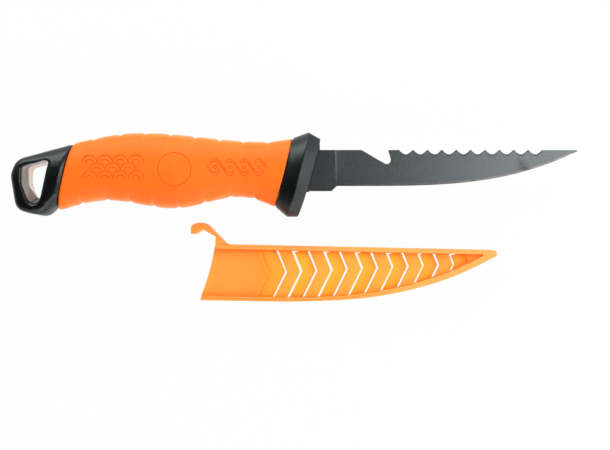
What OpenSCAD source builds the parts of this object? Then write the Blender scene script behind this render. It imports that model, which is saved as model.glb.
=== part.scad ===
// Rigging knife lying on its side, with its slatted sheath lying next to it.
// The knife's datum is where the spine leaves the guard's front face: +X runs to the point,
// +Y to the spine side and +Z up from the surface that both pieces lie on.
// The guard, grip and sheath mouth lie on raked planes, so a station is the place where a
// raked plane crosses the spine line.

/* [Blade] */
// Length along the spine from the guard's front face to the point
blade_len = 110.8; // [100:0.1:120]
// Height of the ground blade from its spine to its straight edge
blade_h = 15.2; // [13:0.1:16.5]
// Thickness of the steel blank at the ricasso and tang
blade_t = 2.4; // [1.8:0.1:2.8]
// Depth that the grind takes off each face at the spine
grind_step = 0.15; // [0.05:0.05:0.3]
// Thickness of the blade just above the edge bevel
shoulder_t = 0.5; // [0.3:0.05:0.8]
// Height of the edge bevel
bevel_h = 0.8; // [0.4:0.1:1.5]
// Thickness left at the cutting edge
edge_t = 0.1; // [0.05:0.01:0.2]
// Height of the blade at the very end of its point
point_h = 0.4; // [0.2:0.1:1]
// Share of the spine's thickness that tapers away towards the point
point_taper = 0.8; // [0:0.05:0.8]
// Length of the unground ricasso in front of the guard
ricasso_len = 8.2; // [6:0.1:10]
// Drop of the ricasso below the line of the straight edge
heel_drop = 2.2; // [1:0.1:3]
// Length of the slanted step at the heel
heel_run = 1.9; // [1:0.1:3]
// Distance from the guard to where the edge starts to curve
curve_at = 20; // [15:1:30]
// Power of the edge's curve
curve_power = 3.05; // [2.4:0.05:3.6]

/* [Line notch] */
// Distance from the guard to the top of the notch's ramp
notch_at = 19; // [16:0.5:22]
// Length from the ramp's top to the notch's hooked end
notch_run = 12.5; // [11:0.5:14]
// Depth of the notch below the spine
notch_depth = 5.9; // [5:0.1:7]
// Radius of the notch's round bottom
notch_r = 1.85; // [1.4:0.05:2.4]
// Overhang of the notch's hooked end
notch_hook = 1.1; // [0.4:0.1:2]

/* [Spine scallops] */
// Distance from the guard to the first scallop
scallop_at = 35.2; // [34:0.2:40]
// Spacing of the scallops
scallop_pitch = 6.12; // [5.8:0.02:8]
// Depth of a scallop
scallop_depth = 1.7; // [1:0.1:2.2]
// Power of a scallop's wave, 1 for sharp crests and 2 for crests as round as the hollows
scallop_power = 1.5; // [1:0.1:2]
// Depth of the crescent ground along each scallop on the blade's upper face
scallop_bevel = 0.6; // [0.2:0.1:0.8]
// Width of that crescent at the middle of a scallop
scallop_ease = 0.8; // [0.3:0.1:1.2]
// Plain spine between the last scallop and the point
scallop_end = 14.3; // [10:0.1:30]

/* [Tang] */
// Depth that the full-height ricasso reaches behind the guard's face
ricasso_in = 5; // [3:0.5:7]
// Reach of the tang behind the guard's face
tang_reach = 80; // [65:1:86]
// Height of the tang
tang_h = 10; // [8:0.5:12]
// Depth of the tang's centre line below the spine
tang_drop = 9.2; // [8.5:0.1:10]
// Clearance round the blade inside the handle core
tang_fit = 0.1; // [0.05:0.05:0.2]
// Diameter of the cross pins
pin_d = 4; // [3:0.5:5]
// Distance of the rear tang pin from the tang's end
pin_end = 16; // [12:1:20]
// Spacing of the two tang pins
pin_pitch = 30; // [24:1:32]
// Clearance of a pin in its hole, on the radius
pin_fit = 0.05; // [0.02:0.01:0.1]
// Depth of the pin's ends below the core's sides
pin_sink = 0.5; // [0.2:0.1:1]

/* [Guard] */
// Rake of the guard, of the grip's front end and of the sheath's mouth
guard_rake = 14.3; // [10:0.1:18]
// Forward bow of the guard's faces at the handle's sides
guard_bow = 1; // [0:0.1:1.4]
// Length of the guard from its front face to its rear face
guard_len = 11.2; // [9:0.1:13]
// Distance of the guard's ridge behind its front face
ridge_at = 5.45; // [4:0.05:7]
// Height of the ridge above the spine line
ridge_top = 7.45; // [6.5:0.05:9]
// Depth of the ridge below the spine line
ridge_drop = 28.3; // [26.5:0.1:30]
// Width of the guard across its ridge
guard_w = 25; // [24:0.5:30]
// Height of the front face above the spine line
face_top = 5.05; // [4.5:0.05:6]
// Depth of the front face below the spine line
face_drop = 27.9; // [25:0.1:28.2]
// Width of the front face
face_w = 20.5; // [17:0.5:23]
// Amount that the guard's rear rim stands proud of the grip
rear_lip = 0.25; // [0:0.05:0.6]
// Roundness of the guard's outline, 2 for an ellipse
guard_power = 2.5; // [2:0.1:4]

/* [Grip] */
// Length from the guard's front face to the butt's end
handle_len = 127.9; // [122:0.1:136]
// Gap between the guard and the grip's front end
grip_gap = 0.6; // [0.3:0.1:1]
// Height of the back above the spine line, at the butt cap
back_butt = 2.9; // [2:0.1:4]
// Height of the back at its crest
back_crest = 7.2; // [6:0.1:9]
// Height of the back at its neck
back_neck = 3.4; // [2.5:0.1:5]
// Height of the back where it flares to the guard
back_flare = 4.8; // [4:0.1:6]
// Depth of the belly below the spine line, at the butt cap
belly_butt = 25.4; // [24:0.1:27]
// Depth of the belly at its rear hollow
belly_hollow = 21.3; // [20.5:0.1:23]
// Depth of the belly at its swell
belly_swell = 24.7; // [23.5:0.1:27]
// Depth of the belly at the forefinger's hollow
belly_finger = 19.8; // [19:0.1:21]
// Depth of the belly where it flares to the guard
belly_flare = 24; // [22:0.1:25.5]
// Width of the grip at the butt cap
butt_w = 19; // [16:0.5:21]
// Amount that the grip's swell lies inside the guard's sides
swell_in = 0; // [0:0.1:2]
// Width of the grip at its neck
neck_w = 20.5; // [19:0.5:23]
// Width of the grip where it flares to the guard
flare_w = 21.5; // [20:0.5:24]
// Roundness of the grip's sections, 2 for an ellipse
grip_power = 2.4; // [2:0.1:3]
// Thickness of the rubber over the core
grip_wall = 3; // [2:0.1:3.5]
// Clearance between the rubber and the core
grip_fit = 0.12; // [0.05:0.01:0.3]

/* [Grip notches] */
// Number of raked notches round the back and belly
notch_count = 8; // [4:1:8]
// Distance of the first notch from the butt cap
first_notch = 8.5; // [6:0.1:12]
// Spacing of the notches
grip_notch_pitch = 10.45; // [9.5:0.05:10.8]
// Depth of a notch
grip_notch_depth = 0.6; // [0.3:0.05:1]
// Width of a notch at the back
grip_notch_w = 3.4; // [2.4:0.1:4.4]
// Width of a notch's floor
grip_notch_floor = 0.5; // [0.2:0.1:1]
// Share of the half width that a notch reaches round the sides
grip_notch_reach = 0.8; // [0.5:0.05:0.9]

/* [Handle core] */
// Wall of the core's nose on each side of the ricasso
nose_wall = 1.5; // [1:0.1:2]
// Height of the nose above the spine line
nose_top = 3.3; // [1.5:0.1:3.6]
// Wall of the nose below the ricasso
nose_low = 0.4; // [0.3:0.1:1.5]
// Height that the nose stands proud of the guard's front face
nose_out = 1.3; // [0.5:0.1:2]
// Clearance of the nose in the guard's window
nose_fit = 0.1; // [0.05:0.05:0.2]
// Clearance between end faces that meet
seat_fit = 0.05; // [0.02:0.01:0.2]

/* [Butt cap] */
// Rake of the joint between the grip and the butt cap
butt_rake = 13; // [10:0.5:16]
// Length of the butt cap along the spine line
cap_len = 24.9; // [23.5:0.1:28]
// Amount that the cap's front rim lies below the grip
cap_step = 0.7; // [0:0.05:1]
// Amount that the cap's front rim stands proud of the grip's sides
cap_proud = 0.9; // [0:0.1:1.5]
// Width of the sloped lip round the cap's front rim
cap_lip = 1.5; // [0.5:0.1:2]
// Width of the cap at its end
cap_end_w = 18; // [15:0.5:20]
// Radius of the cap's corners in side view
cap_r = 5.3; // [4.5:0.1:6]
// Radius of the cap's rounded edges
cap_edge = 3; // [1.5:0.1:3.4]
// Depth of the cap's upper corner centre below the spine line
cap_upper = 8.4; // [7.5:0.1:9.5]
// Depth of the centre of the cap's bulging end below the spine line
cap_middle = 11.8; // [10.5:0.1:15]
// Amount that the cap's end bulges past its corners
cap_bulge = 1.5; // [0.5:0.05:2.5]
// Depth of the cap's lower corner centre below the spine line
cap_lower = 21.2; // [19:0.1:21.5]
// Distance of the cap's heel centre from the butt's end
heel_at = 13.1; // [12:0.1:15]
// Depth of the cap's heel centre below the spine line
heel_deep = 22.8; // [22:0.1:24]
// Length of the tongue that the cap reaches into the core
tongue_len = 11; // [8:0.5:12]
// Height of the tongue
tongue_h = 11; // [8:0.5:12]
// Thickness of the tongue
tongue_t = 5; // [4:0.5:6]
// Clearance of the tongue in the core's socket
tongue_fit = 0.1; // [0.05:0.05:0.2]
// Distance of the cap pin in front of the cap's face
cap_pin_at = 6; // [4:0.5:6]

/* [Lanyard opening] */
// Distance of the opening's straight front side from the cap's front face
eye_wall = 8; // [7:0.1:9]
// Distance of the opening's rear side from the butt's end
eye_rim = 5.6; // [5:0.1:7]
// Depth of the opening's top below the spine line
eye_top = 7.2; // [6.5:0.1:9]
// Depth of the opening's bottom below the spine line, at the parting line
eye_bottom = 20.4; // [19:0.1:21.5]
// Drop of the opening's bottom from the parting line to the faces
eye_scoop = 2.6; // [1:0.1:3]
// Radius of the opening's rounded bottom
eye_low_r = 1.9; // [1.4:0.1:2.4]
// Radius of the opening's upper corners
eye_top_r = 0.9; // [0.6:0.1:1.4]
// Rise of the opening's top side towards the grip
eye_rise = 2.3; // [1.5:0.1:2.8]
// Radius of the opening's bowed rear side
eye_bow_r = 3.6; // [2.6:0.1:3.8]
// Draft of the opening's walls from each face to the parting line
eye_draft = 0.7; // [0.2:0.1:1]
// Width of the rounded rim of the opening
eye_round = 1.2; // [0.6:0.1:1.4]

/* [Sheath] */
// Clearance between the seated sheath's mouth and the core's nose
mouth_fit = 0.1; // [0.05:0.05:0.5]
// Gap between the blade's spine and the upper rail
spine_gap = 0.6; // [0.3:0.1:1]
// Height of the upper rail
upper_rail = 1.9; // [1.4:0.1:2.4]
// Gap between the ricasso and the lower rail
edge_gap = 2; // [1:0.1:3]
// Height of the lower rail
lower_rail = 2.3; // [1.8:0.1:3]
// Gap between the blade's point and the end of the sheath's inside
point_gap = 6.5; // [4:0.1:9]
// Length of the solid tip
tip_len = 6; // [5:0.1:8]
// Radius of the tip's end
tip_r = 1.6; // [1:0.05:1.8]
// Distance from the mouth to where the lower rail starts to curve
rail_curve_at = 25; // [20:1:30]
// Power of the lower rail's curve
rail_power = 2.55; // [2.2:0.05:3]
// Gap between the blade and the slats on each face
slot_gap = 0.2; // [0.1:0.05:0.4]
// Thickness of the mouth panel and slats
slat_t = 1.4; // [1:0.1:2]
// Depth of the slats below the faces of the rails
slat_set = 1.2; // [0.6:0.1:1.6]

/* [Sheath slats] */
// Distance from the mouth to the point of the mouth panel's chevron
panel_len = 23.5; // [20:0.5:26]
// Distance from the mouth to the point of the first see-through gap
first_gap = 31.3; // [29:0.1:34]
// Spacing of the gaps
slat_pitch = 6.58; // [5.5:0.02:8]
// Width of the gap in front of a front slat
gap_before = 0.7; // [0.4:0.05:1.2]
// Width of the gap behind a front slat
gap_after = 1.1; // [0.6:0.05:1.4]
// Step of each back slat towards the tip, against the front slats
back_step = 0.09; // [0:0.01:0.12]
// Lean of the chevrons' arms
slat_lean = 25.5; // [15:0.5:35]
// Depth of the chevrons' centre line below the spine line at the mouth
apex_drop = 11.1; // [9:0.1:13]
// Rise of the chevrons' centre line towards the tip, in degrees
apex_rise = 3.9; // [2:0.1:5]
// Shortest length of the panel that closes the tip
tip_panel = 5; // [4:0.5:7]
// Overlap of the end slats behind the panels
slat_lap = 1; // [0.5:0.1:1.5]

/* [Sheath hook] */
// Depth that the hook's nose catches behind the guard's ridge
hook_bite = 0.65; // [0.3:0.05:1]
// Clearance over the guard's ridge inside the hook
hook_clear = 1.4; // [0.8:0.1:2]
// Distance from the ridge to the hook's catching corner
hook_catch = 3.05; // [2:0.05:4]
// Length of the hook's nose
nose_len = 2; // [1.5:0.1:3]
// Thickness of the hook over the ridge
hook_wall = 2.85; // [2:0.05:3.2]
// Radius of the hook's back
hook_r = 5.6; // [5:0.1:6.4]
// Distance of the hook's crest behind the guard's ridge
hook_crest = 1.1; // [0:0.1:1.5]
// Height of the hook's throat over the spine line at the mouth
throat_h = 5.85; // [5:0.05:6.5]
// Length of the hook's foot on the upper rail
hook_foot = 4.9; // [4.5:0.1:8]
// Radius of the fillet behind the hook's foot
foot_fillet = 1.6; // [0.8:0.1:2.5]
// Gap between the hook's foot and the rail
hook_gap = 0.1; // [0.05:0.05:0.2]

/* [Lay] */
// How far the sheath's mouth lies behind the guard's front face
lay_back = 44.2; // [0:0.1:60]
// How far the sheath lies below the knife's spine line
lay_down = 42.6; // [41.5:0.1:80]
// Turn of the sheath on the surface, clockwise
lay_turn = 1.2; // [0:0.1:4]

/* [Hidden] */
$fn = 48;
eps = 0.01;
ring_sides = 40;
core_sides = 32;

// Stations along the spine line
grip_rear = -(handle_len - cap_len);
grip_front = -(guard_len + grip_gap);
grip_len = grip_front - grip_rear;
core_front = -(guard_len + seat_fit);
ricasso_h = blade_h + heel_drop;
handle_mid = (back_butt - belly_butt) / 2;

// Places of the two pieces on the surface
half_w = guard_w / 2;
slot_t = blade_t + 2 * slot_gap;
sheath_t = slot_t + 2 * (slat_t + slat_set);
sheath_seat = nose_out + mouth_fit;
sheath_in = blade_len - sheath_seat + point_gap;
sheath_len = sheath_in + tip_len;
rail_top = spine_gap + upper_rail;
rail_in = ricasso_h + edge_gap;
rail_drop = rail_in + lower_rail;
sheath_low = min([for (p = sheath_outline()) p.y * cos(lay_turn) - p.x * sin(lay_turn)]);
knife_x = (handle_len - blade_len) / 2;
knife_y = (lay_down - sheath_low - ridge_top) / 2;

// Scallops and slats fill the length that the blade gives them
scallop_count = floor((blade_len - scallop_end - scallop_at) / scallop_pitch + 0.02);
slat_pairs = floor((sheath_in - first_gap - tip_panel) / (2 * slat_pitch) + 0.02);

// Profiles of the grip as a share of its length and a height, depth or half width
back_keys = [[0, back_butt], [0.3, back_crest], [0.87, back_neck], [1, back_flare]];
belly_keys = [[0, belly_butt], [0.215, belly_hollow], [0.53, belly_swell], [0.82, belly_finger],
    [1, belly_flare]];
width_keys = [[0, butt_w / 2], [0.48, half_w - swell_in], [0.87, neck_w / 2], [1, flare_w / 2]];

// Smooth curve through keys: level at each crest and hollow, sloped at the ends
function secant(keys, i) = (keys[i + 1][1] - keys[i][1]) / (keys[i + 1][0] - keys[i][0]);
function slope(keys, i) =
    i == 0 ? 1.6 * secant(keys, 0)
    : i == len(keys) - 1 ? 1.5 * secant(keys, i - 1)
    : secant(keys, i - 1) * secant(keys, i) <= 0 ? 0
    : 2 / (1 / secant(keys, i - 1) + 1 / secant(keys, i));
function span_of(keys, u, i = 0) =
    i == len(keys) - 2 || u <= keys[i + 1][0] ? i : span_of(keys, u, i + 1);
function hermite(y0, y1, m0, m1, t) =
    y0 * (2 * t ^ 3 - 3 * t ^ 2 + 1) + m0 * (t ^ 3 - 2 * t ^ 2 + t)
    + y1 * (3 * t ^ 2 - 2 * t ^ 3) + m1 * (t ^ 3 - t ^ 2);
function curve(keys, u) =
    let (
        i = span_of(keys, u),
        w = keys[i + 1][0] - keys[i][0]
    )
    hermite(keys[i][1], keys[i + 1][1], slope(keys, i) * w, slope(keys, i + 1) * w,
        (u - keys[i][0]) / w);

// Share of the grip's length at a station, and the rake there
function share(station) = min(1, max(0, (station - grip_rear) / grip_len));
function rake(station) = butt_rake + (guard_rake - butt_rake) * share(station);
function raked(station, y) = station + y * tan(rake(station));
function bowed(station, z) = guard_bow * share(station) * (z / half_w) ^ 2;
function flip(value, power) = sign(value) * abs(value) ^ (2 / power);

// One rounded section on a raked and bowed plane, from its top, its depth and its half width
function section(station, top, drop, half, power, sides) = [
    for (i = [0:sides - 1])
        let (
            a = 360 * i / sides,
            y = (top - drop) / 2 + (top + drop) / 2 * flip(cos(a), power),
            z = half * flip(sin(a), power)
        )
        [raked(station, y) + bowed(station, z), y, z]
];

// End face of a bowed ring in strips that run straight from its back to its belly
function strips(n) = [
    for (k = [0:n / 4 - 1])
        each [
            [k, k + 1, if (k + 1 < n / 4) n / 2 - k - 1, n / 2 - k],
            [(n - k) % n, n / 2 + k, if (k + 1 < n / 4) n / 2 + k + 1, n - k - 1]
        ]
];

// Solid through a list of rings that have the same number of points, with flat or bowed ends
module loft(rings, flat = false) {
    n = len(rings[0]);
    last = len(rings) - 1;
    ends = flat ? [[for (j = [0:n - 1]) j]] : strips(n);
    polyhedron(
        points = [for (ring = rings) each ring],
        faces = [
            each ends,
            for (i = [0:last - 1], j = [0:n - 1])
                each let (
                    a = i * n + j,
                    b = i * n + (j + 1) % n
                )
                [[a, a + n, b + n], [a, b + n, b]],
            for (face = ends)
                [for (j = [len(face) - 1:-1:0]) last * n + face[j]]
        ]
    );
}

// Grip section, drawn in by an inset and cut by the notches on its back and belly
function notch_station(i) = grip_rear + first_notch + i * grip_notch_pitch;
function notch_cut(station, around) =
    let (
        deep = grip_notch_depth * max(0, 1 - (around / grip_notch_reach) ^ 2),
        off = min([for (i = [0:notch_count - 1]) abs(station - notch_station(i))]),
        wall = (grip_notch_w - grip_notch_floor) / 2 * deep / grip_notch_depth,
        past = off - grip_notch_floor / 2
    )
    deep <= 0 || past >= wall ? 0 : past <= 0 ? deep : deep * (1 - past / wall);
function grip_ring(station) =
    let (
        u = share(station),
        top = curve(back_keys, u),
        drop = curve(belly_keys, u),
        half = curve(width_keys, u)
    )
    [for (i = [0:ring_sides - 1])
        let (
            a = 360 * i / ring_sides,
            s = flip(sin(a), grip_power),
            mid = (top - drop) / 2,
            y = mid + ((top + drop) / 2 - notch_cut(station, abs(s))) * flip(cos(a), grip_power)
        )
        [raked(station, y) + bowed(station, half * s), y, half * s]
    ];
function core_ring(station, inset) =
    let (u = share(station))
    section(station, curve(back_keys, u) - inset, curve(belly_keys, u) - inset,
        curve(width_keys, u) - inset, grip_power, core_sides);
function core_stations() = [for (i = [0:16]) grip_rear + grip_len * i / 16];
function core_half(station) = curve(width_keys, share(station)) - grip_wall;

// Depth of the blade's edge and of the sheath's lower rail at a distance from the guard or mouth
function sweep(x, start, end, power) = max(0, (x - start) / (end - start)) ^ power;
function blade_low(x) = (blade_h - point_h) * (1 - sweep(x, curve_at, blade_len, curve_power)) + point_h;
function rail_low(x, drop, end) = drop * (1 - sweep(x, rail_curve_at, end, rail_power));
function spine_thin(x) = 1 - point_taper * sweep(x, ricasso_len, blade_len, 4);
function spine_half(x) = (blade_t / 2 - grind_step) * spine_thin(x);
function blade_ring(x) =
    let (
        low = blade_low(x),
        spine = spine_half(x),
        bevel = min(bevel_h, low / 2),
        shoulder = min(shoulder_t / 2 * spine_thin(x), spine)
    )
    [
        [x, 0, spine], [x, bevel - low, shoulder], [x, -low, edge_t / 2],
        [x, -low, -edge_t / 2], [x, bevel - low, -shoulder], [x, 0, -spine]
    ];

// Point where a line from a point touches a circle, on the side given by its sign
function touch(from, centre, r, side) =
    let (
        d = centre - from,
        turn = atan2(d.y, d.x) + side * asin(r / norm(d)),
        reach = sqrt(norm(d) ^ 2 - r ^ 2)
    )
    from + reach * [cos(turn), sin(turn)];

module line_notch() {
    ramp = [notch_at, 0];
    hook = [notch_at + notch_run - notch_hook, 0];
    bottom = [notch_at + notch_run - notch_r, notch_r - notch_depth];
    linear_extrude(2 * blade_t, center = true) {
        translate(bottom) circle(notch_r);
        polygon([ramp, touch(ramp, bottom, notch_r, -1), bottom, touch(hook, bottom, notch_r, 1), hook,
            hook + [0, 1], ramp + [0, 1]]);
    }
}

// One wave of the scalloped spine, from crest to crest
function wave(x, z, depth) = [
    for (i = [0:16])
        [x + (i / 16 - 0.5) * scallop_pitch, -depth * sin(180 * i / 16) ^ scallop_power, z],
    [x + scallop_pitch / 2, 1, z],
    [x - scallop_pitch / 2, 1, z]
];

module scallops() {
    for (i = [0:scallop_count - 1])
        let (
            x = scallop_at + (i + 0.5) * scallop_pitch,
            top = spine_half(x)
        )
        loft([
            wave(x, -blade_t, scallop_depth),
            wave(x, top - scallop_bevel, scallop_depth),
            wave(x, top + scallop_bevel, scallop_depth + 2 * scallop_ease)
        ], true);
}

// Outline of the ricasso and tang, grown by a clearance for the pocket that holds them
module blank_outline(grow) {
    translate([-ricasso_in - grow, -ricasso_h - grow])
        square([ricasso_in + grow + 2 * nose_out, ricasso_h + 2 * grow]);
    translate([-tang_reach - grow, -tang_drop - tang_h / 2 - grow])
        square([tang_reach + grow, tang_h + 2 * grow]);
}

module cross_pins(places, d, length) {
    for (i = [0:len(places) - 1])
        translate(places[i]) cylinder(d = d, h = length[i], center = true);
}
tang_pin_places = [for (i = [0, 1]) [pin_end + i * pin_pitch - tang_reach, -tang_drop]];
function pin_station(place) = place.x - place.y * tan(rake(place.x));
tang_pin_lengths = [for (p = tang_pin_places) 2 * (core_half(pin_station(p)) - pin_sink)];
cap_pin_place = [raked(grip_rear + cap_pin_at, handle_mid), handle_mid];
cap_pin_length = 2 * (core_half(grip_rear + cap_pin_at) - pin_sink);
module knife_frame() {
    translate([knife_x, knife_y, half_w]) children();
}

module blade() {
    steps = 28;
    from = ricasso_len - heel_run / 2;
    color("DimGray") knife_frame() difference() {
        union() {
            linear_extrude(blade_t, center = true) {
                blank_outline(0);
                polygon([[0, 0], [ricasso_len, 0], [ricasso_len, -blade_h],
                    [ricasso_len - heel_run, -ricasso_h], [0, -ricasso_h]]);
            }
            loft([for (i = [0:steps]) blade_ring(from + (blade_len - from) * sin(90 * i / steps))], true);
        }
        line_notch();
        scallops();
        cross_pins(tang_pin_places, pin_d + 2 * pin_fit, [2 * blade_t, 2 * blade_t]);
    }
}

// Nose of the core and the guard's window round it
function nose_ring(station, grow) =
    section(station, nose_top + grow, ricasso_h + nose_low + grow,
        blade_t / 2 + tang_fit + nose_wall + grow, 6, core_sides);

module guard() {
    rear = section(-guard_len, back_flare + rear_lip, belly_flare + rear_lip, flare_w / 2 + rear_lip,
        guard_power, ring_sides);
    ridge = section(-ridge_at, ridge_top, ridge_drop, guard_w / 2, guard_power, ring_sides);
    face = section(0, face_top, face_drop, face_w / 2, guard_power, ring_sides);
    color("Black") knife_frame() difference() {
        loft([rear, ridge, face]);
        loft([nose_ring(-guard_len - 1, nose_fit), nose_ring(1, nose_fit)]);
    }
}

// Tongue of the butt cap and the core's socket round it
function tongue_ring(station, grow) =
    section(station, handle_mid + tongue_h / 2 + grow, tongue_h / 2 - handle_mid + grow,
        tongue_t / 2 + grow, 6, core_sides);

module handle_core() {
    socket_end = grip_rear + tongue_len + seat_fit;
    color("Black") knife_frame() difference() {
        union() {
            loft([for (station = concat(core_stations(), core_front)) core_ring(station, grip_wall)]);
            difference() {
                loft([nose_ring(core_front - grip_gap / 2, 0), nose_ring(nose_out, 0)]);
                translate([nose_out, -half_w, -half_w]) cube(2 * half_w);
            }
        }
        linear_extrude(blade_t + 2 * tang_fit, center = true) blank_outline(tang_fit);
        loft([tongue_ring(grip_rear - 1, tongue_fit), tongue_ring(socket_end, tongue_fit)]);
        cross_pins(tang_pin_places, pin_d + 2 * pin_fit, [3 * half_w, 3 * half_w]);
        cross_pins([cap_pin_place], pin_d + 2 * pin_fit, [3 * half_w]);
    }
}

module tang_pins() {
    color("Silver") knife_frame() cross_pins(tang_pin_places, pin_d, tang_pin_lengths);
}

// Stations where the grip needs a ring: its ends, each notch's walls and the middles between
notch_walls = [-1, -0.55, -grip_notch_floor / grip_notch_w, grip_notch_floor / grip_notch_w, 0.55, 1];
function grip_stations() = [
    for (i = [0:3]) grip_rear + (first_notch - grip_notch_w / 2) * i / 4,
    for (i = [0:notch_count - 1])
        each [
            for (s = notch_walls) notch_station(i) + s * grip_notch_w / 2,
            if (i < notch_count - 1) notch_station(i) + 0.41 * grip_notch_pitch,
            if (i < notch_count - 1) notch_station(i) + 0.59 * grip_notch_pitch
        ],
    for (i = [1:4])
        let (from = notch_station(notch_count - 1) + grip_notch_w / 2)
        from + (grip_front - from) * i / 4
];

module grip() {
    past = [1, 0, 0];
    bore = [for (station = core_stations()) core_ring(station, grip_wall - grip_fit)];
    color("DarkOrange") knife_frame() difference() {
        loft([for (station = grip_stations()) grip_ring(station)]);
        loft([
            [for (p = bore[0]) p - past],
            each bore,
            [for (p = bore[len(bore) - 1]) p + past]
        ]);
    }
}

// Corner centres of the cap in side view
cap_corners = [
    [cap_r + cap_bulge - handle_len, -cap_upper],
    [cap_r - handle_len, -cap_middle],
    [cap_r + cap_bulge - handle_len, -cap_lower],
    [heel_at - handle_len, -heel_deep]
];

// Rounded disc that makes one corner of the cap
module cap_disc(r, half) {
    for (a = [0, 30, 60, 90])
        let (
            out = r - cap_edge * (1 - cos(a)),
            up = half - cap_edge * (1 - sin(a))
        )
        cylinder(r = out, h = 2 * up, center = true, $fn = 32);
}

// Circles whose hull is the lanyard opening
cap_face = grip_rear - seat_fit;
function eye_front(depth) = raked(cap_face, -depth) - eye_wall;
function eye_circles(scoop) = [
    [eye_rim + eye_top_r - handle_len, -eye_top - eye_top_r, eye_top_r],
    [eye_rim + eye_bow_r - handle_len, -(eye_top + eye_bottom) / 2, eye_bow_r],
    [eye_front(eye_bottom - eye_low_r) - eye_low_r - scoop / 4, eye_low_r - eye_bottom - scoop, eye_low_r],
    [eye_front(eye_top) - eye_top_r, eye_rise - eye_top - eye_top_r, eye_top_r]
];

// Hull of slices of the opening, each a height, a growth and a drop of its bottom
module eye_slices(slices) {
    hull() for (slice = slices, c = eye_circles(slice.z))
        translate([c.x, c.y, slice.x]) cylinder(r = c.z + slice.y, h = eps, $fn = 32);
}

module butt_cap() {
    half = cap_end_w / 2;
    front = butt_w / 2 + cap_proud;
    side = (front + half) / 2;
    rim = [for (lip = [cap_lip, 0])
        section(cap_face - lip, back_butt - cap_step, belly_butt - cap_step,
            front - cap_proud * (1 - lip / cap_lip), grip_power, core_sides)];
    color("Black") knife_frame() difference() {
        union() {
            hull() {
                loft(rim);
                for (c = cap_corners) translate(c) cap_disc(cap_r, half);
            }
            loft([tongue_ring(cap_face - 1, 0), tongue_ring(grip_rear + tongue_len, 0)]);
        }
        for (m = [0, 1]) mirror([0, 0, m]) {
            eye_slices([[-eps, 0, 0], [side, eye_draft, eye_scoop]]);
            eye_slices([[side - eye_round, eye_draft, eye_scoop], [side + eye_round / 4,
                eye_draft + 1.25 * eye_round, eye_scoop]]);
        }
        cross_pins([cap_pin_place], pin_d + 2 * pin_fit, [3 * half_w]);
    }
}

module cap_pin() {
    color("Silver") knife_frame() cross_pins([cap_pin_place], pin_d, [cap_pin_length]);
}

// Sheath, drawn from its mouth: x runs along the spine line and y = 0 is the blade's spine
function mouth_x(y) = y * tan(guard_rake);
function arc(centre, r, from, to, steps) =
    [for (i = [0:steps]) let (a = from + (to - from) * i / steps) centre + r * [cos(a), sin(a)]];
function rail_points(drop, end, to, steps) =
    [for (i = [0:steps])
        let (x = rail_curve_at + (to - rail_curve_at) * i / steps)
        [x, -rail_low(x, drop, end)]];
function sheath_outline() =
    let (nose = [sheath_len - tip_r, rail_top - tip_r])
    concat(
        [[mouth_x(rail_top), rail_top], [mouth_x(-rail_drop), -rail_drop]],
        rail_points(rail_drop, sheath_len - 0.4, nose.x + 0.5 * tip_r, 24),
        arc(nose, tip_r, -55, 90, 8)
    );
function sheath_inside() = concat(
    [[mouth_x(spine_gap) - 1, spine_gap], [mouth_x(-rail_in) - 1, -rail_in]],
    rail_points(rail_in, sheath_in, sheath_in, 24),
    [[sheath_in, spine_gap]]
);

// Area behind a chevron whose point lies at x, back to an earlier chevron or the mouth
function apex_y(x) = x * tan(apex_rise) - apex_drop;
function chevron(x) =
    let (
        reach = rail_drop + rail_top,
        y = apex_y(x)
    )
    [[x - reach * tan(slat_lean), y + reach], [x, y], [x - reach * tan(slat_lean), y - reach]];
module slat(from, to) {
    intersection() {
        polygon(sheath_inside());
        polygon(concat(chevron(to), [for (i = [2:-1:0]) chevron(from)[i]]));
    }
}
function gap_x(k) = first_gap + k * slat_pitch;

module sheath_frame(z, height) {
    translate([knife_x - lay_back, knife_y - lay_down, z]) rotate(-lay_turn)
        linear_extrude(height) children();
}
front_z = sheath_t - slat_set - slat_t;

module sheath_rim() {
    color("Orange") sheath_frame(0, sheath_t) difference() {
        polygon(sheath_outline());
        polygon(sheath_inside());
    }
}

module sheath_mouth_panel() {
    color("Orange") sheath_frame(front_z, slat_t) intersection() {
        polygon(sheath_inside());
        polygon(concat(chevron(panel_len),
            [[mouth_x(-rail_drop), -rail_drop], [mouth_x(rail_top), rail_top]]));
    }
}

module sheath_front_slats() {
    color("Orange") sheath_frame(front_z, slat_t) {
        for (j = [0:slat_pairs - 1]) slat(gap_x(2 * j) + gap_before / 2, gap_x(2 * j + 1) - gap_after / 2);
        difference() {
            polygon(sheath_inside());
            polygon(concat(chevron(gap_x(2 * slat_pairs)),
                [[-rail_drop, -rail_drop], [-rail_drop, rail_top]]));
        }
    }
}

module sheath_back_slats() {
    color("Orange") sheath_frame(slat_set, slat_t)
        for (j = [0:slat_pairs])
            slat(
                j == 0 ? panel_len - slat_lap : gap_x(2 * j - 1) + gap_after / 2 + j * back_step,
                j == slat_pairs ? gap_x(2 * j) + slat_lap : gap_x(2 * j) - gap_before / 2 + j * back_step
            );
}

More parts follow.
